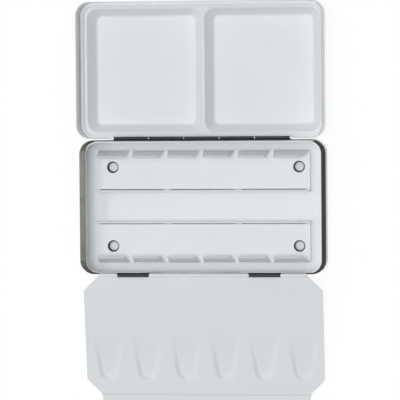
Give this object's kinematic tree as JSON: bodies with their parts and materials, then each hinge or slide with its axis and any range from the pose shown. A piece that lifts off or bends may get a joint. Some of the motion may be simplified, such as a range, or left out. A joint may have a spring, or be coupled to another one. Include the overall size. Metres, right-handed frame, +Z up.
{
  "type": "watercolour paint tin",
  "caption": "Flat hinged enamelled tin with spring-clip pan rails in the base, a lid with mixing wells and a fold-out mixing leaf.",
  "frame": {"origin": "centre of the flat underside of the base tray", "axes": "+Z up, +X along the hinges to the right, +Y from the base towards the opened lid"},
  "size_m": [0.1235, 0.1979, 0.0138],
  "materials": {
    "enamelled_shell": "gloss enamel, white inside and black outside",
    "white_enamel": "gloss white enamel",
    "black_hinge": "gloss black enamel",
    "hinge_wire": "dull drawn steel wire"
  },
  "bodies": {
    "base": {"base_shell": "enamelled_shell", "rear_pan_rail": "white_enamel", "front_pan_rail": "white_enamel", "front_rail_rivet_left": "white_enamel", "front_rail_rivet_right": "white_enamel", "rear_rail_rivet_left": "white_enamel", "rear_rail_rivet_right": "white_enamel", "base_hinge_leaf": "black_hinge", "main_hinge_pin": "hinge_wire", "leaf_bracket_left": "black_hinge", "leaf_bracket_right": "black_hinge", "leaf_hinge_pin": "hinge_wire"},
    "lid": {"lid_shell": "enamelled_shell", "lid_hinge_leaf": "black_hinge"},
    "leaf": {"mixing_leaf": "white_enamel"}
  },
  "joints": [
    {"name": "lid_hinge", "type": "hinge", "parent": "base", "child": "lid", "pos_m": [0, 0.0339, 0.01085], "axis": [1, 0, 0], "range_deg": [0, 180]},
    {"name": "leaf_hinge", "type": "hinge", "parent": "base", "child": "leaf", "pos_m": [0, -0.03335, 0.01285], "axis": [-1, 0, 0], "range_deg": [0, 189.9]}
  ]
}
